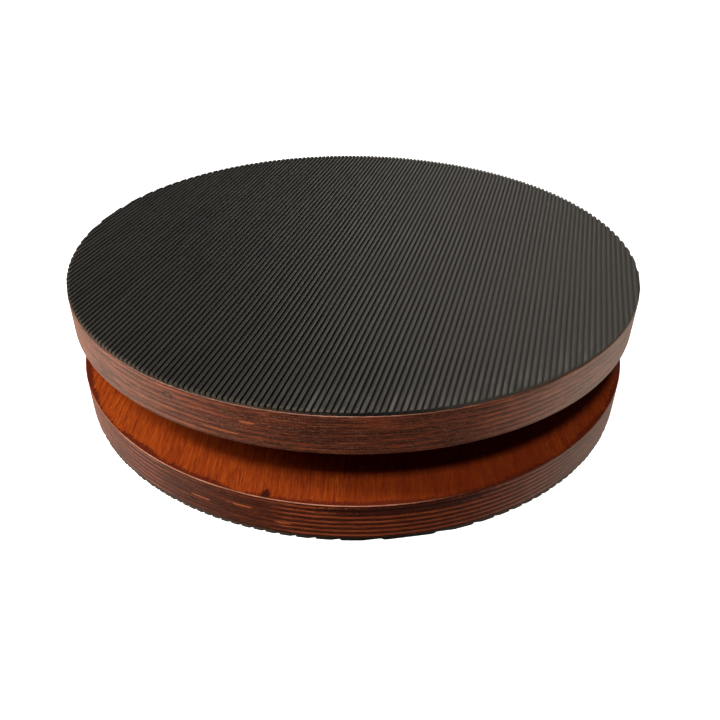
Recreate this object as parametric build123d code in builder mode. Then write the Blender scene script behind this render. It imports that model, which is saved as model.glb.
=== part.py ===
from build123d import *
from math import radians, sqrt, tan
import os

# Lazy susan turntable: two equal plywood discs faced with ribbed rubber sheet. The upper
# disc turns on a square ball-bearing plate, which stands on a smaller plywood riser.
# Millimetres, +Z up, origin on the floor at the middle of the base mat.

# ---- driving dimensions ------------------------------------------------------------------

# plywood
disc_diameter = 330.0
ply_count = 15
ply_thickness = 1.4
rim_round = 1.0
riser_diameter = 220.0

# ribbed rubber sheet; a heading is the ribs' angle from +Y, anticlockwise seen from above
mat_diameter = 329.6
mat_thickness = 2.0
rib_height = 1.0
rib_pitch = 2.8
rib_crest_round = 0.3
groove_floor_width = 0.5
groove_count = 118
top_mat_heading = -15.0
base_mat_heading = -80.0

# pressed-steel bearing plates
bearing_height = 10.0
plate_side = 152.0
plate_corner_round = 14.0
plate_sheet = 1.5
press_radius = 62.0
press_depth = 1.75
press_slope_outside = 59.3
press_slope_inside = 57.2
lower_plate_bore = 45.0
upper_plate_bore = 34.0
upper_plate_heading = 45.0

# ball track
race_radius = 54.0
race_clearance = 0.05
ball_diameter = 5.0
ball_count = 30
cage_width = 7.6
cage_thickness = 2.2
pocket_clearance = 0.1

# ring that hooks the two plates together, and its rivets
ring_sheet = 1.2
ring_bore = 34.5
ring_wall_radius = 43.5
ring_lip_radius = 49.0
ring_running_gap = 0.1
ring_bend_round = 0.5
rivet_circle = 38.4
rivet_count = 6
rivet_diameter = 3.0
rivet_head_diameter = 6.0
rivet_head_height = 1.2

# wood screws
screw_spread = 128.0
plate_screw_diameter = 4.2
plate_screw_length = 16.0
pan_head_diameter = 8.0
pan_head_height = 2.4
riser_screw_circle = 70.0
riser_screw_count = 6
riser_screw_start = 30.0
riser_screw_diameter = 5.0
riser_screw_length = 35.0
flat_head_diameter = 10.0
flat_head_angle = 90.0
screw_core_ratio = 0.7
screw_pitch_ratio = 0.45
screw_ridge_ratio = 0.5
screw_hole_clearance = 0.2
recess_span = 4.2
recess_width = 1.0
recess_depth = 1.6
recess_taper = 12.0
blind_spare = 0.5

# dowel that centres the riser on the base
dowel_diameter = 8.0
dowel_length = 38.0
dowel_chamfer = 0.8
dowel_clearance = 0.02

# hole through base and riser, under the upper plate's screws as each comes round
access_hole_diameter = 20.0

# ---- derived sizes -----------------------------------------------------------------------

disc_thickness = ply_count * ply_thickness
base_bottom = mat_thickness
base_top = base_bottom + disc_thickness
riser_top = base_top + disc_thickness
bearing_middle = riser_top + bearing_height / 2
platter_bottom = riser_top + bearing_height
platter_top = platter_bottom + disc_thickness

screw_circle = screw_spread / sqrt(2)
plate_screw_core = screw_core_ratio * plate_screw_diameter / 2
riser_screw_core = screw_core_ratio * riser_screw_diameter / 2

# heights of the bearing's parts above or below its middle
flat_back = bearing_height / 2
flat_front = flat_back - plate_sheet
lip_back = flat_back - press_depth
lip_front = lip_back - plate_sheet
groove_radius = ball_diameter / 2 + race_clearance


# ---- rubber ------------------------------------------------------------------------------


def groove_outline():
    """One groove's outline, its mouth at height 0, with the crests beside it rounded."""
    half_floor = groove_floor_width / 2
    half_mouth = half_floor + rib_crest_round
    with BuildSketch() as groove:
        with BuildLine():
            floor = Line((0, -rib_height), (half_floor, -rib_height))
            wall = Line(floor @ 1, (half_floor, -rib_crest_round))
            crest = RadiusArc(wall @ 1, (half_mouth, 0), -rib_crest_round)
            Line(crest @ 1, (0, 0))
            mirror(about=Plane.YZ)
        make_face()
    return groove.sketch


def ribbed_sheet():
    """Round piece of ribbed sheet, its back at height 0 and its ribs up and along Y."""
    with BuildPart() as sheet:
        with BuildSketch():
            Circle(mat_diameter / 2)
        extrude(amount=mat_thickness)
        with BuildSketch(Plane.XZ):
            with Locations((0, mat_thickness)):
                with GridLocations(rib_pitch, rib_pitch, groove_count, 1):
                    add(groove_outline())
        extrude(amount=mat_diameter / 2, both=True, mode=Mode.SUBTRACT)
    return sheet.part


# ---- wood --------------------------------------------------------------------------------


def plywood_disc(diameter, level):
    """Plain plywood disc from level upwards, its two rim edges rounded."""
    with BuildPart() as disc:
        with BuildSketch(Plane.XY.offset(level)):
            Circle(diameter / 2)
        extrude(amount=disc_thickness)
        fillet(disc.edges().filter_by(GeomType.CIRCLE), rim_round)
    return disc.part


# ---- fasteners ---------------------------------------------------------------------------


def cross_recess():
    """Tapered cross-shaped driver recess, its mouth at height 0."""
    with BuildPart() as recess:
        with BuildSketch():
            Rectangle(recess_span, recess_width)
            Rectangle(recess_width, recess_span)
        extrude(amount=-recess_depth, taper=recess_taper)
    return recess.part


def threaded_shank(diameter, length):
    """Screw shank down from height 0: a core with thread ridges, ending in a point."""
    crest = diameter / 2
    core = screw_core_ratio * crest
    pitch = screw_pitch_ratio * diameter
    half_ridge = screw_ridge_ratio * pitch / 2
    point_start = length - diameter
    ridge_count = int(point_start / pitch)
    outline = [(0, 0), (core, 0)]
    for ridge in range(ridge_count):
        middle = (ridge + 0.5) * pitch
        outline += [(core, half_ridge - middle), (crest, -middle), (core, -half_ridge - middle)]
    outline += [(core, -point_start), (0, -length)]
    with BuildPart() as shank:
        with BuildSketch(Plane.XZ):
            with BuildLine():
                Polyline(*outline, close=True)
            make_face()
        revolve(axis=Axis.Z)
    return shank.part


def pan_screw():
    """Pan-head wood screw pointing down, the underside of its head at height 0."""
    with BuildPart() as screw:
        add(threaded_shank(plate_screw_diameter, plate_screw_length))
        with BuildSketch():
            Circle(pan_head_diameter / 2)
        extrude(amount=pan_head_height)
        head_rim = screw.edges().filter_by(GeomType.CIRCLE).sort_by(Axis.Z)[-1]
        fillet(head_rim, pan_head_height / 2)
        with Locations((0, 0, pan_head_height)):
            add(cross_recess(), mode=Mode.SUBTRACT)
    return screw.part


def flat_screw():
    """Countersunk wood screw pointing down, the top of its head at height 0."""
    head_radius = flat_head_diameter / 2
    shank_radius = riser_screw_diameter / 2
    head_height = (head_radius - shank_radius) / tan(radians(flat_head_angle / 2))
    with BuildPart() as screw:
        add(threaded_shank(riser_screw_diameter, riser_screw_length))
        with Locations((0, 0, -head_height)):
            Cone(shank_radius, head_radius, head_height, align=(Align.CENTER, Align.CENTER, Align.MIN))
        add(cross_recess(), mode=Mode.SUBTRACT)
    return screw.part


def ring_rivet(grip):
    """Rivet with a domed head at each end, the middle of its grip at height 0."""
    with BuildPart() as rivet:
        Cylinder(rivet_diameter / 2, grip)
        with BuildSketch(Plane.XY.offset(grip / 2)):
            Circle(rivet_head_diameter / 2)
        extrude(amount=rivet_head_height)
        mirror(about=Plane.XY)
        rims = rivet.edges().filter_by(GeomType.CIRCLE).group_by(Axis.Z)
        fillet(rims[0] + rims[-1], rivet_head_height / 2)
    return rivet.part


# ---- pressed steel -----------------------------------------------------------------------


def pressed_section(bore):
    """Half section of a plate's pressed middle, height 0 at the middle of the bearing.

    From the bore the sheet runs level, arches over the balls, then climbs the slope to
    the flat that lies against the wood.
    """
    arch_front = groove_radius
    arch_back = groove_radius + plate_sheet
    front_reach = sqrt(arch_front**2 - lip_front**2)
    back_reach = sqrt(arch_back**2 - lip_back**2)
    slope_run = press_slope_outside - press_slope_inside
    slope_length = sqrt(slope_run**2 + press_depth**2)
    back_shift = plate_sheet * (slope_length - slope_run) / press_depth
    with BuildSketch(Plane.XZ) as section:
        with BuildLine():
            Polyline(
                (race_radius - front_reach, lip_front),
                (bore, lip_front),
                (bore, lip_back),
                (race_radius - back_reach, lip_back),
            )
            ThreePointArc(
                (race_radius - back_reach, lip_back),
                (race_radius, arch_back),
                (race_radius + back_reach, lip_back),
            )
            Polyline(
                (race_radius + back_reach, lip_back),
                (press_slope_inside - back_shift, lip_back),
                (press_slope_outside - back_shift, flat_back),
                (press_radius, flat_back),
                (press_radius, flat_front),
                (press_slope_outside, flat_front),
                (press_slope_inside, lip_front),
                (race_radius + front_reach, lip_front),
            )
            ThreePointArc(
                (race_radius + front_reach, lip_front),
                (race_radius, arch_front),
                (race_radius - front_reach, lip_front),
            )
        make_face()
    return section.sketch


def bearing_plate(bore):
    """Upper bearing plate, height 0 at the middle of the bearing."""
    with BuildPart() as plate:
        with BuildSketch(Plane.XY.offset(flat_front)):
            RectangleRounded(plate_side, plate_side, plate_corner_round)
            Circle(press_radius, mode=Mode.SUBTRACT)
            with GridLocations(screw_spread, screw_spread, 2, 2):
                Circle((plate_screw_diameter + screw_hole_clearance) / 2, mode=Mode.SUBTRACT)
        extrude(amount=plate_sheet)
        add(pressed_section(bore))
        revolve(axis=Axis.Z)
    return plate.part


# ---- base: mat, disc, dowel, riser and the screws between them ---------------------------

os.makedirs("parts", exist_ok=True)
sheet = ribbed_sheet()

with BuildPart() as base_mat:
    with Locations(Location((0, 0, base_bottom), (180, 0, -base_mat_heading))):
        add(sheet)
base_mat.part.label = "base_mat"
export_step(base_mat.part, "parts/base_mat.step")

with BuildPart() as base_disc:
    add(plywood_disc(disc_diameter, base_bottom))
    with Locations((0, 0, base_top)):
        Hole(dowel_diameter / 2 + dowel_clearance)
    with Locations((screw_circle, 0, base_top)):
        Hole(access_hole_diameter / 2)
    with Locations(Location((0, 0, base_bottom), (180, 0, 0))):
        with PolarLocations(riser_screw_circle, riser_screw_count, riser_screw_start):
            CounterSinkHole(
                (riser_screw_diameter + screw_hole_clearance) / 2,
                (flat_head_diameter + screw_hole_clearance) / 2,
                counter_sink_angle=flat_head_angle,
            )
base_disc.part.label = "base_disc"
export_step(base_disc.part, "parts/base_disc.step")

with BuildPart() as riser_dowel:
    with BuildSketch(Plane.XY.offset(base_bottom)):
        Circle(dowel_diameter / 2)
    extrude(amount=dowel_length)
    chamfer(riser_dowel.edges().filter_by(GeomType.CIRCLE), dowel_chamfer)
riser_dowel.part.label = "riser_dowel"
export_step(riser_dowel.part, "parts/riser_dowel.step")

with BuildPart() as riser_disc:
    add(plywood_disc(riser_diameter, base_top))
    with Locations((0, 0, base_top)):
        Hole(dowel_diameter / 2 + dowel_clearance, dowel_length - disc_thickness + blind_spare)
    with Locations((screw_circle, 0, riser_top)):
        Hole(access_hole_diameter / 2)
    with Locations((0, 0, base_top)):
        with PolarLocations(riser_screw_circle, riser_screw_count, riser_screw_start):
            Hole(riser_screw_core, riser_screw_length - disc_thickness + blind_spare)
    with Locations((0, 0, riser_top)):
        with GridLocations(screw_spread, screw_spread, 2, 2):
            Hole(plate_screw_core, plate_screw_length - plate_sheet + blind_spare)
riser_disc.part.label = "riser_disc"
export_step(riser_disc.part, "parts/riser_disc.step")

with BuildPart() as riser_screws:
    with Locations(Location((0, 0, base_bottom), (180, 0, 0))):
        with PolarLocations(riser_screw_circle, riser_screw_count, riser_screw_start):
            add(flat_screw())
riser_screws.part.label = "riser_screws"
export_step(riser_screws.part, "parts/riser_screws.step")

# ---- lower half of the bearing -----------------------------------------------------------

with BuildPart() as lower_bearing_plate:
    with Locations(Location((0, 0, bearing_middle), (180, 0, 0))):
        add(bearing_plate(lower_plate_bore))
lower_bearing_plate.part.label = "lower_bearing_plate"
export_step(lower_bearing_plate.part, "parts/lower_bearing_plate.step")

with BuildPart() as lower_plate_screws:
    with Locations((0, 0, riser_top + plate_sheet)):
        with GridLocations(screw_spread, screw_spread, 2, 2):
            add(pan_screw())
lower_plate_screws.part.label = "lower_plate_screws"
export_step(lower_plate_screws.part, "parts/lower_plate_screws.step")

# ---- ball track --------------------------------------------------------------------------

with BuildPart() as bearing_balls:
    with Locations((0, 0, bearing_middle)):
        with PolarLocations(race_radius, ball_count):
            Sphere(ball_diameter / 2)
bearing_balls.part.label = "bearing_balls"
export_step(bearing_balls.part, "parts/bearing_balls.step")

with BuildPart() as ball_cage:
    with BuildSketch(Plane.XY.offset(bearing_middle)):
        Circle(race_radius + cage_width / 2)
        Circle(race_radius - cage_width / 2, mode=Mode.SUBTRACT)
        with PolarLocations(race_radius, ball_count):
            Circle(ball_diameter / 2 + pocket_clearance, mode=Mode.SUBTRACT)
    extrude(amount=cage_thickness / 2, both=True)
ball_cage.part.label = "ball_cage"
export_step(ball_cage.part, "parts/ball_cage.step")

# ---- upper half of the bearing -----------------------------------------------------------

ring_top = bearing_middle + lip_front
ring_lip_top = bearing_middle - lip_back - ring_running_gap
ring_wall_bore = ring_wall_radius - ring_sheet
rivet_grip = plate_sheet + ring_sheet

with BuildPart() as upper_bearing_plate:
    with Locations(Location((0, 0, bearing_middle), (0, 0, upper_plate_heading))):
        add(bearing_plate(upper_plate_bore))
    with Locations((0, 0, bearing_middle + lip_back)):
        with PolarLocations(rivet_circle, rivet_count):
            Hole(rivet_diameter / 2, 2 * plate_sheet)
upper_bearing_plate.part.label = "upper_bearing_plate"
export_step(upper_bearing_plate.part, "parts/upper_bearing_plate.step")

with BuildPart() as retaining_ring:
    with BuildSketch(Plane.XZ) as ring_section:
        with BuildLine():
            Polyline(
                (ring_bore, ring_top),
                (ring_wall_radius, ring_top),
                (ring_wall_radius, ring_lip_top),
                (ring_lip_radius, ring_lip_top),
                (ring_lip_radius, ring_lip_top - ring_sheet),
                (ring_wall_bore, ring_lip_top - ring_sheet),
                (ring_wall_bore, ring_top - ring_sheet),
                (ring_bore, ring_top - ring_sheet),
                close=True,
            )
        make_face()
        bends = ring_section.vertices().filter_by_position(Axis.X, ring_wall_bore, ring_wall_radius)
        fillet(bends, ring_bend_round)
    revolve(axis=Axis.Z)
    with Locations((0, 0, ring_top)):
        with PolarLocations(rivet_circle, rivet_count):
            Hole(rivet_diameter / 2, 2 * ring_sheet)
retaining_ring.part.label = "retaining_ring"
export_step(retaining_ring.part, "parts/retaining_ring.step")

with BuildPart() as ring_rivets:
    with Locations((0, 0, ring_top - ring_sheet + rivet_grip / 2)):
        with PolarLocations(rivet_circle, rivet_count):
            add(ring_rivet(rivet_grip))
ring_rivets.part.label = "ring_rivets"
export_step(ring_rivets.part, "parts/ring_rivets.step")

# ---- platter: disc, the screws that hold it to the bearing, and its mat ------------------

with BuildPart() as upper_plate_screws:
    with Locations(Location((0, 0, platter_bottom - plate_sheet), (180, 0, upper_plate_heading))):
        with GridLocations(screw_spread, screw_spread, 2, 2):
            add(pan_screw())
upper_plate_screws.part.label = "upper_plate_screws"
export_step(upper_plate_screws.part, "parts/upper_plate_screws.step")

with BuildPart() as top_disc:
    add(plywood_disc(disc_diameter, platter_bottom))
    with Locations(Location((0, 0, platter_bottom), (0, 0, upper_plate_heading))):
        with GridLocations(screw_spread, screw_spread, 2, 2):
            Hole(plate_screw_core, plate_screw_length - plate_sheet + blind_spare)
top_disc.part.label = "top_disc"
export_step(top_disc.part, "parts/top_disc.step")

with BuildPart() as top_mat:
    with Locations(Location((0, 0, platter_top), (0, 0, top_mat_heading))):
        add(sheet)
top_mat.part.label = "top_mat"
export_step(top_mat.part, "parts/top_mat.step")
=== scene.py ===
import math
import random

import bmesh
import bpy
from mathutils import Matrix, Vector


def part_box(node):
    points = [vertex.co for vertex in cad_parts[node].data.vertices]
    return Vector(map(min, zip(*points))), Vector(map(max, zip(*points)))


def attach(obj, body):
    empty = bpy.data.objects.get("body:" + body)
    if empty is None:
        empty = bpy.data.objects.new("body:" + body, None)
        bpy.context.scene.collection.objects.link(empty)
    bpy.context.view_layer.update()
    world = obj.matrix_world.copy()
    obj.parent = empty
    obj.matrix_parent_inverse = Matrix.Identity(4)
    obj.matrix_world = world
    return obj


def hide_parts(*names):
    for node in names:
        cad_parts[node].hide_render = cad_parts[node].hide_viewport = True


# The looks of a turntable: two stained plywood discs, ribbed rubber on the upper one and
# under the lower one, and a ball bearing on a smaller disc between them. Metres, in the
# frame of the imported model. Each new piece is modelled about its own origin, on the
# turning axis, so that its material can use object coordinates. Marks and lights are placed
# by heading, in degrees anticlockwise from +X; the camera's own heading is -90.

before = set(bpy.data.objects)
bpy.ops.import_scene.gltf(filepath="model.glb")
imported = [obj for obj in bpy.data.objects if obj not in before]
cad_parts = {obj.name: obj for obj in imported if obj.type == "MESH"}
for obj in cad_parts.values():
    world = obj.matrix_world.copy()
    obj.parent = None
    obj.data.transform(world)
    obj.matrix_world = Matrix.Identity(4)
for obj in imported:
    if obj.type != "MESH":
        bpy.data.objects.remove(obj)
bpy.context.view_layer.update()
MM = 0.001

# ---- meshes --------------------------------------------------------------------------------


def mesh_piece(name, mesh, material, turn, level, body, node, sharp_angle):
    """Turns and shades a finished mesh, places it, and makes it stand for a CAD node."""
    mesh.transform(turn)
    mesh.shade_smooth()
    mesh.set_sharp_from_angle(angle=math.radians(sharp_angle))
    piece = bpy.data.objects.new(name, mesh)
    bpy.context.scene.collection.objects.link(piece)
    piece.data.materials.append(material)
    piece.location = (0, 0, level)
    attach(piece, body)
    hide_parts(node)
    return piece


class Ripple:
    """Smooth seeded unevenness over a plane or around a rim: a few sine waves added up."""

    def __init__(self, seed, wavelength, waves=6):
        rng = random.Random(seed)
        self.waves = []
        for _ in range(waves):
            heading = rng.uniform(0, math.tau)
            k = math.tau / (wavelength * rng.uniform(0.6, 1.8))
            self.waves.append((k * math.cos(heading), k * math.sin(heading), rng.uniform(0, math.tau)))

    def at(self, x, y):
        total = sum(math.sin(a * x + b * y + c) for a, b, c in self.waves)
        return total / math.sqrt(len(self.waves))


# ---- ribbed rubber -------------------------------------------------------------------------

RIB_PITCH = 2.8 * MM
RIB_SINK = 0.02       # spread of the ribs' heights, in mm
END_SPREAD = 0.18     # spread of how far the ribs' ends are cut back, in mm
END_RAGGED = 0.12     # roughness of each cut end, in mm
RIM_MARGIN = 0.12 * MM
END_BEVEL = 0.35 * MM
END_ROUNDING = 0.10 * MM
SIDEWAYS_DRIFT = 0.10 * MM
# across one rib: distance from its middle, and drop below its highest line
RIB_SECTION = (
    (-1.40, 1.00), (-0.96, 0.97), (-0.93, 0.60), (-0.89, 0.20), (-0.85, 0.06), (-0.76, 0.01),
    (0.00, 0.00), (0.76, 0.01), (0.85, 0.06), (0.89, 0.20), (0.93, 0.60), (0.96, 0.97),
)


def rib_columns(radius, rng):
    """Lines along the ribs, as (across, drop, rib number, how far its ends are cut back)."""
    columns = []
    count = int(radius / RIB_PITCH) + 1
    for rib in range(-count, count + 1):
        sink = abs(rng.gauss(0, RIB_SINK)) * MM
        cut = (abs(rng.gauss(0, END_SPREAD)) * MM, abs(rng.gauss(0, END_SPREAD)) * MM)
        for across, drop in RIB_SECTION:
            x = rib * RIB_PITCH + across * MM
            if abs(x) < radius - RIM_MARGIN:
                ragged = rng.uniform(0, END_RAGGED) * MM
                columns.append((x, drop * MM + sink, (cut[0] + ragged, cut[1] + ragged)))
    return columns


def ribbed_sheet(name, node, rows, seed):
    """Closed mesh of a round ribbed sheet: back at height 0, ribs up, running along Y."""
    low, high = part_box(node)
    radius = (high.x - low.x) / 2
    thickness = high.z - low.z
    rng = random.Random(seed)
    lateral = Ripple(seed + 1, 120 * MM)
    level = Ripple(seed + 2, 45 * MM)
    columns = rib_columns(radius, rng)
    bm = bmesh.new()
    tops, ends = [], []
    for x, drop, cut in columns:
        reach = math.sqrt(radius**2 - x**2)
        near = -reach + min(cut[0], reach / 4)
        far = reach - min(cut[1], reach / 4)
        bevel = min(END_BEVEL, (far - near) / 12)
        stations = [near, near + bevel, near + 3 * bevel]
        inner = [near + 3 * bevel + (far - near - 6 * bevel) * i / rows for i in range(1, rows)]
        stations += inner + [far - 3 * bevel, far - bevel, far]
        line = []
        for i, y in enumerate(stations):
            rounding = END_ROUNDING if i in (0, len(stations) - 1) else 0.0
            shift = SIDEWAYS_DRIFT * lateral.at(x, y) * min(1.0, (radius - abs(x)) / (6 * MM))
            dip = 0.012 * MM * (1.5 + level.at(x, y))
            z = thickness - drop - rounding - max(0.0, dip)
            line.append(bm.verts.new((x + shift, y, z)))
        tops.append(line)
        ends.append((bm.verts.new((x, near, 0)), bm.verts.new((x, far, 0))))
    for c in range(len(columns) - 1):
        here, there = tops[c], tops[c + 1]
        for r in range(len(here) - 1):
            bm.faces.new((here[r], there[r], there[r + 1], here[r + 1]))
        (near_a, far_a), (near_b, far_b) = ends[c], ends[c + 1]
        bm.faces.new((near_a, near_b, there[0], here[0]))
        bm.faces.new((far_b, far_a, here[-1], there[-1]))
        bm.faces.new((far_a, far_b, near_b, near_a))
    bm.faces.new(list(reversed(tops[0])) + [ends[0][0], ends[0][1]])
    bm.faces.new(tops[-1] + [ends[-1][1], ends[-1][0]])
    bmesh.ops.recalc_face_normals(bm, faces=bm.faces)
    mesh = bpy.data.meshes.new(name)
    bm.to_mesh(mesh)
    bm.free()
    return mesh


# ---- plywood -------------------------------------------------------------------------------

FACE_PLY = 1.2 * MM
PLY_COUNT = 15
EDGE_ROUND = 0.6 * MM
FLAT_MARGIN = 0.6 * MM    # flat ring inside each arris
GLUE_RECESS = 0.09        # how far the glue lines lie below the rim, in mm
PLY_RECESS = 0.05         # how far every other ply does, in mm
GLUE_STEP = 0.16 * MM
ARC_STEPS = 5
RIM_STEPS = 480
HOLE_STEPS = 32


def rim_rings(radius, thickness, ripple):
    """Rings up a plywood rim, as (height, reach at an angle), bottom edge to top edge."""
    inner_ply = (thickness - 2 * FACE_PLY) / (PLY_COUNT - 2)
    rings = []

    def add(z, inset, ply, recess):
        def reach(angle):
            wave = ripple.at(angle * radius, 7 * ply * MM)
            return radius - inset - (0.03 + recess) * MM - 0.025 * MM * (1 + wave / 2)
        rings.append((z, reach))

    def arc(step):
        turn = math.pi / 2 * step / ARC_STEPS
        return EDGE_ROUND * (1 - math.sin(turn)), EDGE_ROUND * (1 - math.cos(turn))

    add(0.0, EDGE_ROUND + FLAT_MARGIN, 0, 0)
    for step in range(ARC_STEPS + 1):
        inset, rise = arc(step)
        add(rise, inset, 0, 0)
    for ply in range(1, PLY_COUNT - 1):
        bottom = FACE_PLY + (ply - 1) * inner_ply
        recess = PLY_RECESS if ply % 2 else 0.0
        add(bottom, 0, ply, GLUE_RECESS)
        add(bottom + GLUE_STEP, 0, ply, recess)
        add(bottom + inner_ply - GLUE_STEP, 0, ply, recess)
    add(thickness - FACE_PLY, 0, PLY_COUNT - 1, GLUE_RECESS)
    for step in range(ARC_STEPS, -1, -1):
        inset, rise = arc(step)
        add(thickness - rise, inset, PLY_COUNT - 1, 0)
    add(thickness, EDGE_ROUND + FLAT_MARGIN, PLY_COUNT - 1, 0)
    return rings


def ring_of_verts(bm, x, y, z, reach, steps):
    """A ring about (x, y) at height z, reach being a function of the angle."""
    verts = []
    for i in range(steps):
        angle = math.tau * i / steps
        r = reach(angle)
        verts.append(bm.verts.new((x + r * math.cos(angle), y + r * math.sin(angle), z)))
    return verts


def bridge(bm, lower, upper):
    """A band of quads between two rings of as many vertices."""
    for i in range(len(lower)):
        j = (i + 1) % len(lower)
        bm.faces.new((lower[i], lower[j], upper[j], upper[i]))


def cap(bm, loops):
    """Flat triangles across an outer loop, open where the other loops are."""
    edges = []
    for loop in loops:
        for i in range(len(loop)):
            pair = (loop[i], loop[(i + 1) % len(loop)])
            edges.append(bm.edges.get(pair) or bm.edges.new(pair))
    bmesh.ops.triangle_fill(bm, edges=edges, use_beauty=True)


def plywood_disc(name, node, holes, seed):
    """Closed mesh of a plywood disc, bottom at height 0.

    holes are (x, y, rings), and rings are (height, radius) from the face the hole starts in;
    a hole goes through if its last ring lies in the other face.
    """
    low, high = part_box(node)
    radius = (high.x - low.x) / 2
    thickness = high.z - low.z
    ripple = Ripple(seed, 60 * MM)
    bm = bmesh.new()
    previous = None
    loops = {"bottom": [], "top": []}
    for z, reach in rim_rings(radius, thickness, ripple):
        ring = ring_of_verts(bm, 0, 0, z, reach, RIM_STEPS)
        if previous is None:
            loops["bottom"].append(ring)
        else:
            bridge(bm, previous, ring)
        previous = ring
    loops["top"].append(previous)
    for x, y, rings in holes:
        previous = None
        for z, hole_radius in rings:
            ring = ring_of_verts(bm, x, y, z, lambda angle: hole_radius, HOLE_STEPS)
            if z < 1e-6:
                loops["bottom"].append(ring)
            elif z > thickness - 1e-6:
                loops["top"].append(ring)
            if previous:
                bridge(bm, previous, ring)
            previous = ring
        if 1e-6 < rings[-1][0] < thickness - 1e-6:
            bm.faces.new(previous)
    cap(bm, loops["bottom"])
    cap(bm, loops["top"])
    bmesh.ops.recalc_face_normals(bm, faces=bm.faces)
    mesh = bpy.data.meshes.new(name)
    bm.to_mesh(mesh)
    bm.free()
    return mesh


# ---- node graphs ---------------------------------------------------------------------------


class Graph:
    """One material's nodes, made through short calls that return output sockets."""

    def __init__(self, name):
        self.material = bpy.data.materials.new(name)
        self.material.use_nodes = True
        self.nodes = self.material.node_tree.nodes
        self.links = self.material.node_tree.links
        self.nodes.clear()
        output = self.nodes.new("ShaderNodeOutputMaterial")
        self.shader = self.nodes.new("ShaderNodeBsdfPrincipled")
        self.links.new(self.shader.outputs[0], output.inputs[0])
        coordinates = self.nodes.new("ShaderNodeTexCoord")
        self.place = coordinates.outputs["Object"]
        split = self.nodes.new("ShaderNodeSeparateXYZ")
        self.links.new(self.place, split.inputs[0])
        self.x, self.y, self.z = split.outputs

    def turn(self, degrees):
        """Turns the object coordinates, so that Y runs that far anticlockwise of where it did."""
        node = self.nodes.new("ShaderNodeVectorRotate")
        node.rotation_type = "Z_AXIS"
        self.links.new(self.place, node.inputs["Vector"])
        node.inputs["Angle"].default_value = -math.radians(degrees)
        self.place = node.outputs[0]

    def feed(self, socket, value):
        if isinstance(value, bpy.types.NodeSocket):
            self.links.new(value, socket)
        elif isinstance(value, (tuple, list)) and len(value) == 3 and socket.type == "RGBA":
            socket.default_value = (*value, 1.0)
        else:
            socket.default_value = value

    def set(self, **values):
        """Feeds the shader's own sockets, an underscore standing for a space."""
        for name, value in values.items():
            self.feed(self.shader.inputs[name.replace("_", " ")], value)

    def math(self, operation, a, b=0.0):
        node = self.nodes.new("ShaderNodeMath")
        node.operation = operation
        for socket, value in zip(node.inputs, (a, b)):
            self.feed(socket, value)
        return node.outputs[0]

    def add(self, a, b):
        return self.math("ADD", a, b)

    def times(self, a, b):
        return self.math("MULTIPLY", a, b)

    def stretched(self, x, y, z):
        """The object coordinates, each scaled, so that noise on them is drawn out."""
        node = self.nodes.new("ShaderNodeVectorMath")
        node.operation = "MULTIPLY"
        self.feed(node.inputs[0], self.place)
        node.inputs[1].default_value = (x, y, z)
        return node.outputs[0]

    def noise(self, vector, scale=1.0, detail=3.0, rough=0.55):
        node = self.nodes.new("ShaderNodeTexNoise")
        self.feed(node.inputs["Vector"], vector)
        self.feed(node.inputs["Scale"], scale)
        self.feed(node.inputs["Detail"], detail)
        self.feed(node.inputs["Roughness"], rough)
        return node.outputs["Fac"]

    def fit(self, value, a, b, low=0.0, high=1.0, smooth=False):
        """value from a to b becomes low to high, and stays there outside."""
        node = self.nodes.new("ShaderNodeMapRange")
        node.interpolation_type = "SMOOTHSTEP" if smooth else "LINEAR"
        for socket, given in zip(node.inputs, (value, a, b, low, high)):
            self.feed(socket, given)
        return node.outputs[0]

    def mix(self, factor, a, b):
        node = self.nodes.new("ShaderNodeMix")
        node.data_type = "RGBA"
        self.feed(node.inputs["Factor"], factor)
        self.feed(node.inputs[6], a)
        self.feed(node.inputs[7], b)
        return node.outputs[2]

    def bump(self, height, distance, strength=1.0, onto=None):
        node = self.nodes.new("ShaderNodeBump")
        self.feed(node.inputs["Strength"], strength)
        self.feed(node.inputs["Distance"], distance)
        self.feed(node.inputs["Height"], height)
        if onto is not None:
            self.links.new(onto, node.inputs["Normal"])
        return node.outputs[0]

    def facing_up(self):
        """How far the surface looks up or down, 0 on a rim and 1 on a flat face."""
        node = self.nodes.new("ShaderNodeNewGeometry")
        split = self.nodes.new("ShaderNodeSeparateXYZ")
        self.links.new(node.outputs["Normal"], split.inputs[0])
        return self.math("ABSOLUTE", split.outputs[2])


# ---- materials -----------------------------------------------------------------------------


def azimuth_band(g, middle, half, soft):
    """1 within half degrees of a heading from the disc's middle, fading to 0 over soft."""
    turned = g.math(
        "ADD",
        g.times(g.x, math.cos(math.radians(middle))),
        g.times(g.y, math.sin(math.radians(middle))),
    )
    reach = g.math("SQRT", g.add(g.times(g.x, g.x), g.times(g.y, g.y)))
    cosine = g.math("DIVIDE", turned, g.math("MAXIMUM", reach, 1e-4))
    return g.fit(cosine, math.cos(math.radians(half + soft)), math.cos(math.radians(half)), 0, 1, True)


def oval(g, heading, half_width, value, centre, half_height):
    """A ragged oval mark at a heading: half_width sideways, half_height along value."""
    cosine, sine = math.cos(math.radians(heading)), math.sin(math.radians(heading))
    outward = g.add(g.times(g.x, cosine), g.times(g.y, sine))
    sideways = g.times(g.add(g.times(g.x, -sine), g.times(g.y, cosine)), 1 / half_width)
    along = g.times(g.add(value, -centre), 1 / half_height)
    distance = g.add(g.times(sideways, sideways), g.times(along, along))
    distance = g.add(distance, g.fit(g.noise(g.place, 450, 3), 0.3, 0.7, -0.6, 0.6))
    return g.times(g.fit(distance, 0.6, 1.4, 1, 0, True), g.math("GREATER_THAN", outward, 0.0))


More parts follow.
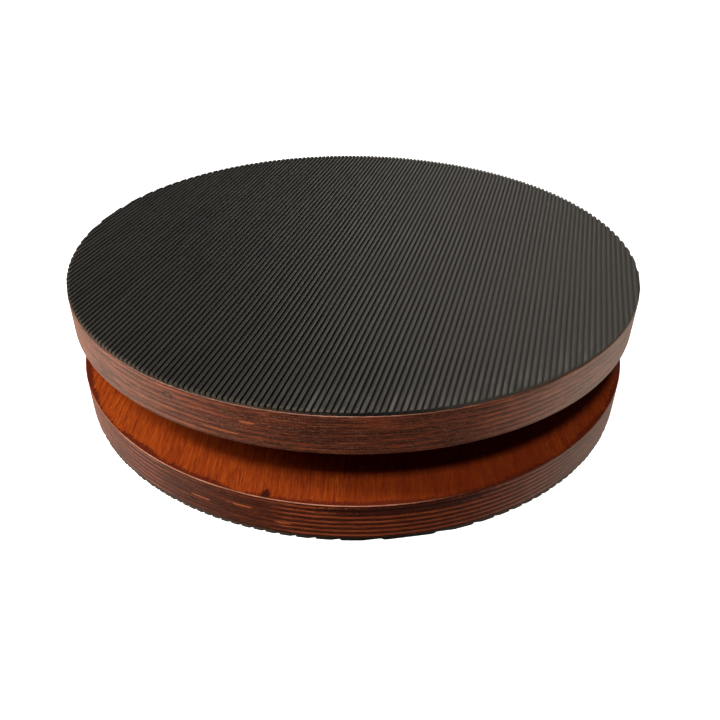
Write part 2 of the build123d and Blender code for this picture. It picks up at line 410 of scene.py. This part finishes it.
def rubber(name, back_to_crest, heading):
    """Black rubber. heading is the ribs' angle from Y, back_to_crest the sheet's thickness."""
    g = Graph(name)
    g.turn(heading)
    # depth is 0 in the grooves and low on their walls, 1 on the crests
    depth = g.fit(g.math("ABSOLUTE", g.z), back_to_crest - 0.35 * MM, back_to_crest - 0.08 * MM)
    cloud = g.noise(g.place, 14, 4)
    along = g.noise(g.stretched(420, 25, 420), 1, 3)
    grit = g.noise(g.place, 2600, 2, 0.7)
    crest = g.mix(cloud, (0.0145, 0.0136, 0.0126), (0.0235, 0.0221, 0.0203))
    crest = g.mix(g.fit(along, 0.35, 0.75), crest, (0.033, 0.0310, 0.0280))
    reach = g.math("SQRT", g.add(g.times(g.x, g.x), g.times(g.y, g.y)))
    rub = g.fit(g.add(reach, g.times(along, 22 * MM)), 156 * MM, 174 * MM)
    rub = g.times(rub, azimuth_band(g, -72, 18, 20))
    rub = g.times(rub, g.fit(g.noise(g.stretched(330, 60, 1), 1, 2), 0.42, 0.66))
    crest = g.mix(g.times(rub, 0.5), crest, (0.150, 0.142, 0.128))
    # the rib ends at the rim are paler around heading -135
    pale_rib_ends = g.times(g.fit(reach, 162.4 * MM, 164.4 * MM), azimuth_band(g, -135, 35, 25))
    crest = g.mix(g.times(pale_rib_ends, g.fit(cloud, 0.3, 0.7, 0.1, 0.6)), crest, (0.14, 0.12, 0.085))
    dusty = g.fit(g.add(g.x, g.times(cloud, 90 * MM)), 90 * MM, 190 * MM)
    dust = g.times(g.fit(grit, 0.62, 0.78), g.add(dusty, g.fit(cloud, 0.4, 0.7, 0, 0.4)))
    crest = g.mix(g.times(dust, 0.30), crest, (0.12, 0.115, 0.105))
    # painted light: towards +X, the right, the crests and grooves are painted lighter, and the crests
    # are made rougher
    right_painted_light = g.fit(g.add(g.x, g.times(cloud, 90 * MM)), 20 * MM, 180 * MM)
    crest = g.mix(g.times(right_painted_light, 0.6), crest, (0.048, 0.0455, 0.0415))
    # painted shade: the grooves and the lower part of their walls are near-black, far darker than the
    # crests of the same rubber
    groove_shade = g.mix(right_painted_light, (0.0002, 0.0002, 0.0002), (0.0700, 0.0660, 0.0600))
    shade = g.mix(depth, groove_shade, crest)
    # the sheet's upright cut edge is paler around headings -138 and -45
    upright_wall = g.math("SUBTRACT", 1, g.fit(g.facing_up(), 0.3, 0.7))
    cut_edge = g.times(g.fit(reach, 163.6 * MM, 164.4 * MM), upright_wall)
    pale_edge_headings = g.add(azimuth_band(g, -138, 26, 26), azimuth_band(g, -45, 12, 25))
    cut_edge = g.times(cut_edge, pale_edge_headings)
    shade = g.mix(g.times(cut_edge, g.fit(cloud, 0.3, 0.7, 0.45, 0.9)), shade, (0.150, 0.120, 0.090))
    g.set(Base_Color=shade)
    crest_rough = g.fit(g.add(along, cloud), 0.7, 1.3, 0.38, 0.48)
    crest_rough = g.add(crest_rough, g.times(right_painted_light, 0.14))
    rough = g.mix(depth, (0.95, 0.95, 0.95), crest_rough)
    shine = g.fit(depth, 0, 1, 0.12, 0.5)
    g.set(Roughness=rough, Specular_IOR_Level=shine, Sheen_Weight=0.03, Sheen_Roughness=0.5)
    fine = g.bump(grit, 0.05 * MM, 0.5)
    g.set(Normal=g.bump(along, 0.12 * MM, 0.5, fine))
    return g.material


def plywood(name, thickness, radius, smudges, marks, arris_highlight, contrast, gloss):
    """Stained plywood.

    smudges are (heading, half width, softness, strength, haze) along the rim; marks are
    (on the rim or the face, heading, half width, height or reach, half height, colour);
    the argument after marks is (heading, half width, softness, strength) of a highlight
    painted pale along the upper arris.
    """
    g = Graph(name)
    inner_ply = (thickness - 2 * FACE_PLY) / (PLY_COUNT - 2)
    reach = g.math("SQRT", g.add(g.times(g.x, g.x), g.times(g.y, g.y)))
    end_y = g.math("ABSOLUTE", g.math("DIVIDE", g.y, g.math("MAXIMUM", reach, 1e-4)))
    end_x = g.math("ABSOLUTE", g.math("DIVIDE", g.x, g.math("MAXIMUM", reach, 1e-4)))
    wander = g.noise(g.stretched(26, 26, 200), 1, 4)
    height = g.add(g.z, g.times(g.fit(wander, 0.3, 0.7, -0.4 * MM, 0.4 * MM), 1.6 - contrast))
    phase = g.times(g.add(height, -(FACE_PLY + inner_ply / 2)), math.pi / inner_ply)
    cross = g.fit(g.math("COSINE", phase), -0.10, 0.45, 0, 1, True)
    # a ply shows its end grain where its fibres point out of the rim
    end_grain = g.add(g.times(cross, end_x), g.times(g.math("SUBTRACT", 1, cross), end_y))
    dark = g.fit(end_grain, 0.35, 0.92, 0, 1, True)
    dark = g.add(g.times(g.add(dark, -0.62), contrast), 0.62)
    dark = g.add(dark, g.times(g.add(cross, -0.5), -0.20 * contrast))
    speckle = 0.0
    for heading, half, soft, strength, haze in smudges:
        band = g.times(azimuth_band(g, heading, half, soft), strength)
        blot = g.fit(g.noise(g.stretched(40, 40, 220), 1, 3), 0.30, 0.55, 0.55, 1.0)
        band = g.times(band, blot)
        specks = g.fit(g.noise(g.stretched(1300, 1300, 900), 1, 2), 0.56, 0.66, 0, haze)
        speckle = g.add(speckle, g.times(band, specks))
        dark = g.add(g.times(dark, g.math("SUBTRACT", 1, band)), g.times(band, 0.92))
    fleck = g.noise(g.stretched(420, 420, 2600), 1, 3, 0.7)
    streak = g.noise(g.stretched(70, 70, 2200), 1, 4, 0.65)
    broken = g.noise(g.stretched(38, 38, 520), 1, 3, 0.6)
    dark = g.add(dark, g.times(g.fit(broken, 0.3, 0.7, -0.6, 0.6), 1.6 - contrast))
    dark = g.fit(dark, 0.0, 1.0)
    light_wood = g.mix(g.fit(streak, 0.3, 0.7), (0.280, 0.053, 0.019), (0.540, 0.118, 0.042))
    dark_wood = g.mix(g.fit(fleck, 0.3, 0.7), (0.036, 0.007, 0.003), (0.120, 0.022, 0.008))
    rim = g.mix(dark, light_wood, dark_wood)
    scuff = g.fit(g.noise(g.stretched(150, 150, 3400), 1, 3, 0.7), 0.52, 0.62, 0, 0.85)
    rim = g.mix(scuff, rim, (0.022, 0.006, 0.004))
    glue = g.fit(g.math("ABSOLUTE", g.math("COSINE", phase)), 0.0, 0.5, 0.5 * contrast, 0.0)
    rim = g.mix(glue, rim, (0.040, 0.008, 0.005))
    pale = g.fit(g.noise(g.stretched(110, 110, 3000), 2, 2, 0.6), 0.58, 0.68, 0, 1.05 - 0.7 * contrast)
    rim = g.mix(pale, rim, (0.620, 0.230, 0.110))
    rim = g.mix(speckle, rim, (0.340, 0.190, 0.150))
    spots = g.times(g.fit(g.noise(g.stretched(75, 75, 700), 1, 2), 0.66, 0.74), 0.55)
    rim = g.mix(spots, rim, (0.34, 0.085, 0.022))

    # flat faces: stain over a fine grain along Y, darker where it pooled near the edge
    bands = g.noise(g.stretched(34, 5, 34), 1, 3)
    lines = g.noise(g.stretched(1500, 60, 1500), 1, 3, 0.7)
    pores = g.noise(g.stretched(1500, 140, 1500), 1, 2, 0.6)
    face = g.mix(g.fit(lines, 0.36, 0.64), (0.215, 0.026, 0.004), (0.470, 0.086, 0.009))
    face = g.mix(g.fit(pores, 0.54, 0.66, 0, 0.7), face, (0.130, 0.017, 0.005))
    face = g.mix(g.fit(bands, 0.40, 0.65, 0, 0.55), face, (0.210, 0.026, 0.006))
    blotches = g.fit(g.noise(g.stretched(55, 30, 55), 1, 4, 0.6), 0.52, 0.72, 0, 0.5)
    face = g.mix(blotches, face, (0.180, 0.020, 0.005))
    pool_edge = g.add(reach, g.fit(g.noise(g.place, 420, 5, 0.7), 0.3, 0.7, -1.4 * MM, 1.4 * MM))
    pool_edge = g.add(pool_edge, g.fit(g.noise(g.place, 30, 2), 0.3, 0.7, -1.6 * MM, 1.6 * MM))
    pool = g.fit(pool_edge, radius - 3.2 * MM, radius - 1.4 * MM, 0, 0.8, True)
    face = g.mix(pool, face, (0.060, 0.009, 0.006))
    deeper = g.fit(g.add(g.x, g.fit(bands, 0.3, 0.7, -20 * MM, 20 * MM)), -170 * MM, 110 * MM, 0, 0.5)
    face = g.mix(deeper, face, (0.140, 0.018, 0.006))
    flat = g.fit(g.facing_up(), 0.80, 0.97, 0, 1, True)
    arris = g.times(g.fit(g.facing_up(), 0.15, 0.4), g.fit(g.facing_up(), 0.9, 0.99, 1, 0))
    # painted highlight: the upper arris is coloured pale pink near one heading, where a lamp glints on
    # it
    painted_highlight = g.times(arris, g.fit(g.noise(g.stretched(60, 60, 60), 1, 3), 0.35, 0.6, 0.3, 0.9))
    heading, half, soft, strength = arris_highlight
    painted_highlight = g.times(painted_highlight, g.fit(g.z, thickness - 1.0 * MM, thickness - 0.5 * MM, 0, strength))
    rim = g.mix(g.times(painted_highlight, azimuth_band(g, heading, half, soft)), rim, (0.62, 0.27, 0.17))
    for where, heading, half_width, centre, half_height, colour in marks:
        if where == "rim":
            mark = oval(g, heading, half_width, g.z, centre, half_height)
            rim = g.mix(g.times(mark, 0.8), rim, colour)
        else:
            mark = oval(g, heading, half_width, reach, centre, half_height)
            face = g.mix(g.times(mark, 0.9), face, colour)
    g.set(Base_Color=g.mix(flat, rim, face))

    rim_rough = g.add(g.times(glue, 0.22), g.times(dark, 0.08))
    rim_rough = g.add(g.fit(fleck, 0.3, 0.7, 0.32, 0.50), rim_rough)
    rough = g.mix(flat, rim_rough, g.fit(lines, 0.3, 0.7, 0.32, 0.46))
    rough = g.mix(arris, rough, (0.40, 0.40, 0.40))
    g.set(Roughness=rough, Specular_IOR_Level=gloss, Specular_Tint=(1.0, 0.74, 0.62))
    g.set(Coat_Weight=0.08, Coat_Roughness=0.25, Coat_IOR=1.5)
    relief = g.mix(flat, g.add(g.times(streak, 0.8), g.times(fleck, 0.5)), g.add(lines, pores))
    g.set(Normal=g.bump(relief, 0.10 * MM, 0.6))
    return g.material


def metal(name, colour, tarnish, roughness):
    g = Graph(name)
    cloud = g.noise(g.place, 90, 4)
    scratch = g.noise(g.stretched(2500, 160, 160), 1, 3)
    g.set(Base_Color=g.mix(g.fit(cloud, 0.35, 0.75), colour, tarnish))
    g.set(Metallic=1.0)
    g.set(Roughness=g.fit(g.add(cloud, scratch), 0.7, 1.3, roughness, roughness + 0.16))
    g.set(Normal=g.bump(scratch, 0.02 * MM, 0.4))
    return g.material


def zinc_spangle(name):
    """Galvanised sheet, with the leafy crystals of a zinc coat."""
    g = Graph(name)
    cells = g.nodes.new("ShaderNodeTexVoronoi")
    g.feed(cells.inputs["Vector"], g.place)
    g.feed(cells.inputs["Scale"], 150.0)
    split = g.nodes.new("ShaderNodeSeparateColor")
    g.links.new(cells.outputs["Color"], split.inputs[0])
    leaf = split.outputs[0]
    cloud = g.noise(g.place, 45, 4)
    g.set(Base_Color=g.mix(leaf, (0.44, 0.45, 0.46), (0.62, 0.63, 0.64)))
    g.set(Metallic=1.0)
    g.set(Roughness=g.fit(g.add(leaf, cloud), 0.4, 1.5, 0.28, 0.46))
    g.set(Normal=g.bump(g.add(g.times(leaf, 0.3), cloud), 0.03 * MM, 0.5))
    return g.material


def nylon(name):
    g = Graph(name)
    cloud = g.noise(g.place, 60, 3)
    grain = g.noise(g.place, 1800, 2)
    g.set(Base_Color=g.mix(cloud, (0.74, 0.71, 0.62), (0.82, 0.80, 0.73)))
    g.set(Roughness=g.fit(cloud, 0.3, 0.7, 0.40, 0.52))
    g.set(Subsurface_Weight=0.1, Subsurface_Scale=0.002)
    g.set(Normal=g.bump(grain, 0.02 * MM, 0.4))
    return g.material


def beech(name):
    g = Graph(name)
    rays = g.noise(g.stretched(700, 700, 60), 1, 4)
    flecks = g.noise(g.stretched(1800, 1800, 260), 1, 2)
    wood = g.mix(g.fit(rays, 0.3, 0.7), (0.56, 0.36, 0.20), (0.42, 0.24, 0.12))
    g.set(Base_Color=g.mix(g.fit(flecks, 0.60, 0.72, 0, 0.6), wood, (0.26, 0.13, 0.06)))
    g.set(Roughness=g.fit(rays, 0.3, 0.7, 0.55, 0.70))
    g.set(Normal=g.bump(rays, 0.05 * MM, 0.5))
    return g.material


# ---- the turntable -------------------------------------------------------------------------


def height_of(node):
    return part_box(node)[0].z


def thickness_of(node):
    low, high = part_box(node)
    return high.z - low.z


def radius_of(node):
    low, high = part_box(node)
    return (high.x - low.x) / 2


def around(circle, count, start):
    angles = [math.radians(start + 360 * i / count) for i in range(count)]
    return [(circle * math.cos(a), circle * math.sin(a)) for a in angles]


TOP_HEADING = -15     # the ribs' angle from Y, in degrees
BASE_HEADING = -80
RUBBER_SHARP = 50     # edges bent by more degrees than this stay sharp
DISC_SHARP = 35
upright = Matrix.Identity(4)
face_down = Matrix.Rotation(math.pi, 4, "Y")
top_turn = Matrix.Rotation(math.radians(TOP_HEADING), 4, "Z")
base_turn = Matrix.Rotation(math.radians(BASE_HEADING), 4, "Z") @ face_down

rubber_thickness = thickness_of("top_mat")
mesh_piece(
    "top_mat_ribs", ribbed_sheet("top_mat_ribs", "top_mat", 64, 11),
    rubber("top_rubber", rubber_thickness, TOP_HEADING), top_turn, height_of("top_mat"),
    "platter", "top_mat", RUBBER_SHARP,
)
mesh_piece(
    "base_mat_ribs", ribbed_sheet("base_mat_ribs", "base_mat", 24, 23),
    rubber("base_rubber", rubber_thickness, BASE_HEADING), base_turn,
    height_of("base_mat") + rubber_thickness,
    "base", "base_mat", RUBBER_SHARP,
)

ply_thickness = thickness_of("top_disc")
screw_ring = around(70 * MM, 6, 30)
screw_hole, screw_head, head_depth = 2.6 * MM, 5.1 * MM, 2.5 * MM
dowel_hole = 4.02 * MM
access_x, access_hole = 90.5 * MM, 10 * MM
countersink = [(0, screw_head), (head_depth, screw_hole), (ply_thickness, screw_hole)]
access = (access_x, 0, [(0, access_hole), (ply_thickness, access_hole)])
base_holes = [(0, 0, [(0, dowel_hole), (ply_thickness, dowel_hole)]), access]
base_holes += [(x, y, countersink) for x, y in screw_ring]
riser_holes = [access]

# marks seen in the photograph; heights are above each disc's own underside
BARE_ORANGE = (0.52, 0.130, 0.048)
DEEP_STAIN = (0.030, 0.006, 0.005)
KNOT_RING = (0.026, 0.006, 0.004)
KNOT_MIDDLE = (0.240, 0.060, 0.026)
top_marks = (
    ("rim", -119.7, 3.2 * MM, 15.2 * MM, 2.0 * MM, KNOT_RING),
    ("rim", -119.7, 1.4 * MM, 15.2 * MM, 0.6 * MM, KNOT_MIDDLE),
    ("rim", -105.5, 4 * MM, 12.3 * MM, 0.7 * MM, BARE_ORANGE),
    ("rim", -110.5, 9 * MM, 4.8 * MM, 0.45 * MM, BARE_ORANGE),
    ("rim", -40.3, 9 * MM, 13.7 * MM, 0.45 * MM, DEEP_STAIN),
)
base_marks = (
    ("rim", -116.0, 5 * MM, 9.5 * MM, 0.5 * MM, BARE_ORANGE),
    ("rim", -108.3, 6 * MM, 12.6 * MM, 0.55 * MM, BARE_ORANGE),
    ("rim", -101.0, 4 * MM, 6.6 * MM, 0.45 * MM, BARE_ORANGE),
    ("rim", -80.0, 46 * MM, 17.6 * MM, 2.6 * MM, DEEP_STAIN),
    ("face", -104.0, 2.0 * MM, 162.5 * MM, 3.6 * MM, DEEP_STAIN),
)
top_smudges = ((-90, 15, 12, 0.75, 0.5),)
base_smudges = ((-113, 9, 5, 1.0, 0.0),)
# where a highlight is painted on each disc's upper arris: heading, half width, softness, strength
top_arris_highlight = (-88, 14, 12, 0.4)
base_arris_highlight = (-112, 26, 16, 1.0)
no_arris_highlight = (0, 1, 1, 0.0)
# name, node, body, holes, seed, and the look: smudges, marks, painted arris highlight, contrast, gloss
discs = (
    ("top_ply", "top_disc", "platter", [], 31,
     (top_smudges, top_marks, top_arris_highlight, 0.68, 0.7)),
    ("base_ply", "base_disc", "base", base_holes, 37,
     (base_smudges, base_marks, base_arris_highlight, 1.2, 0.18)),
    ("riser_ply", "riser_disc", "base", riser_holes, 41,
     ((), (), no_arris_highlight, 1.0, 0.4)),
)
for name, node, body, holes, seed, look in discs:
    mesh_piece(
        name, plywood_disc(name, node, holes, seed),
        plywood(name + "_stained", ply_thickness, radius_of(node), *look),
        upright, height_of(node), body, node, DISC_SHARP,
    )

zinc = zinc_spangle("zinc_spangle")
plated = metal("yellow_plate", (0.66, 0.52, 0.24), (0.46, 0.38, 0.24), 0.26)
rivet = metal("rivet_steel", (0.52, 0.52, 0.52), (0.40, 0.40, 0.40), 0.24)
ball = metal("ball_steel", (0.72, 0.72, 0.72), (0.60, 0.59, 0.57), 0.08)
finishes = {
    "lower_bearing_plate": zinc, "upper_bearing_plate": zinc, "retaining_ring": zinc,
    "riser_screws": plated, "lower_plate_screws": plated, "upper_plate_screws": plated,
    "ring_rivets": rivet, "bearing_balls": ball,
    "ball_cage": nylon("cage_nylon"), "riser_dowel": beech("dowel_beech"),
}
for node, material in finishes.items():
    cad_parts[node].material_slots[0].material = material

# ---- floor, lights and camera --------------------------------------------------------------

WARM = (1.0, 0.95, 0.88)
FLOOR_HALF = 12.0
# the camera's focal length, and how far left of the frame's middle and above it the middle of
# the platter's face appears, all in frame widths
FOCAL_LENGTH = 1.01875
PLATTER_LEFT = 0.00775
PLATTER_ABOVE = 0.160694
SENSOR_WIDTH = 36    # in mm, as Blender counts it


def floor_material():
    g = Graph("studio_floor")
    mottle = g.noise(g.place, 3, 2)
    g.set(Base_Color=g.mix(mottle, (0.86, 0.86, 0.855), (0.88, 0.88, 0.875)))
    g.set(Roughness=0.9, Specular_IOR_Level=0.1)
    g.set(Emission_Color=(1.0, 1.0, 1.0), Emission_Strength=0.95)
    return g.material


def studio_floor():
    mesh = bpy.data.meshes.new("studio_floor")
    s = FLOOR_HALF
    corners = [(-s, -s, 0), (s, -s, 0), (s, s, 0), (-s, s, 0)]
    mesh.from_pydata(corners, [], [(0, 1, 2, 3)])
    mesh.materials.append(floor_material())
    floor = bpy.data.objects.new("studio_floor", mesh)
    bpy.context.scene.collection.objects.link(floor)
    floor.visible_glossy = False
    floor.visible_diffuse = False


def softbox(name, place, target, width, depth, power):
    data = bpy.data.lights.new(name, "AREA")
    data.shape = "RECTANGLE"
    data.size = width
    data.size_y = depth
    data.energy = power
    data.color = WARM
    light = bpy.data.objects.new(name, data)
    light.location = place
    aim = Vector(target) - Vector(place)
    light.rotation_euler = aim.to_track_quat("-Z", "Y").to_euler()
    bpy.context.scene.collection.objects.link(light)


def around_light(distance, azimuth, elevation):
    flat = distance * math.cos(math.radians(elevation))
    turn = math.radians(azimuth)
    rise = distance * math.sin(math.radians(elevation))
    return flat * math.cos(turn), flat * math.sin(turn), rise


def world_light(ramps):
    """Soft surroundings for the light and reflections, and plain white behind the floor.

    A ramp is (axis, from, to, strength at from, strength at to), over a direction's part along
    that axis, and the ramps multiply.
    """
    world = bpy.data.worlds.new("studio")
    world.use_nodes = True
    nodes, links = world.node_tree.nodes, world.node_tree.links
    background = nodes["Background"]
    direction = nodes.new("ShaderNodeTexCoord")
    split = nodes.new("ShaderNodeSeparateXYZ")
    links.new(direction.outputs["Generated"], split.inputs[0])
    strength = None
    for axis, start, end, low, high in ramps:
        ramp = nodes.new("ShaderNodeMapRange")
        ramp.interpolation_type = "SMOOTHSTEP"
        for socket, value in zip(list(ramp.inputs)[1:5], (start, end, low, high)):
            socket.default_value = value
        links.new(split.outputs[axis], ramp.inputs[0])
        product = nodes.new("ShaderNodeMath")
        product.operation = "MULTIPLY"
        links.new(ramp.outputs[0], product.inputs[0])
        if strength is None:
            product.inputs[1].default_value = 1.0
        else:
            links.new(strength, product.inputs[1])
        strength = product.outputs[0]
    links.new(strength, background.inputs["Strength"])
    background.inputs["Color"].default_value = (1.0, 0.86, 0.73, 1)
    seen = nodes.new("ShaderNodeBackground")
    seen.inputs["Color"].default_value = (1.0, 1.0, 1.0, 1)
    seen.inputs["Strength"].default_value = 1.2
    path = nodes.new("ShaderNodeLightPath")
    either = nodes.new("ShaderNodeMixShader")
    links.new(path.outputs["Is Camera Ray"], either.inputs[0])
    links.new(background.outputs[0], either.inputs[1])
    links.new(seen.outputs[0], either.inputs[2])
    links.new(either.outputs[0], nodes["World Output"].inputs["Surface"])
    bpy.context.scene.world = world


def camera():
    """Looks at the platter from in front and about 34 degrees above it."""
    tilt = math.radians(33.858)
    roll = math.radians(0.642)
    distance = 2.6846 * radius_of("top_mat")
    forward = Vector((0, math.cos(tilt), -math.sin(tilt)))
    level = Vector((1, 0, 0))
    rise = Vector((0, math.sin(tilt), math.cos(tilt)))
    right = math.cos(roll) * level + math.sin(roll) * rise
    up = -math.sin(roll) * level + math.cos(roll) * rise
    side = PLATTER_LEFT / FOCAL_LENGTH * distance
    lift = PLATTER_ABOVE / FOCAL_LENGTH * distance
    face = Vector((0, 0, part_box("top_mat")[1].z))
    eye = face + side * right - lift * up - distance * forward
    data = bpy.data.cameras.new("camera")
    data.sensor_width = SENSOR_WIDTH
    data.lens = SENSOR_WIDTH * FOCAL_LENGTH
    data.clip_start = 0.01
    data.clip_end = 100
    view = bpy.data.objects.new("camera", data)
    axes = Matrix((right, up, -forward)).transposed()
    view.matrix_world = Matrix.Translation(eye) @ axes.to_4x4()
    bpy.context.scene.collection.objects.link(view)
    bpy.context.scene.camera = view


studio_floor()
world_light((
    (1, -0.55, 0.00, 0.04, 0.60),
    (2, -0.10, 0.10, 1.0, 0.05),
    (1, 0.10, 0.70, 1.0, 0.60),
    (0, -0.85, -0.20, 3.9, 0.90),
    (0, 0.35, 0.95, 0.70, 3.6),
))
softbox("key", around_light(1.6, -97, 53), (0, 0, 0.05), 0.2, 0.2, 12)
softbox("overhead", (0.0, 0.0, 1.8), (0, 0, 0), 0.8, 0.8, 3)
softbox("left", around_light(1.4, -158, 48), (0, 0, 0.05), 0.25, 0.25, 9)
softbox("left_low", around_light(1.3, -170, 30), (0, 0, 0.05), 0.4, 0.25, 6)
softbox("back_right", around_light(1.5, 77, 35), (0, 0, 0.05), 0.5, 0.4, 2.3)
camera()
bpy.context.scene.view_settings.view_transform = "Standard"
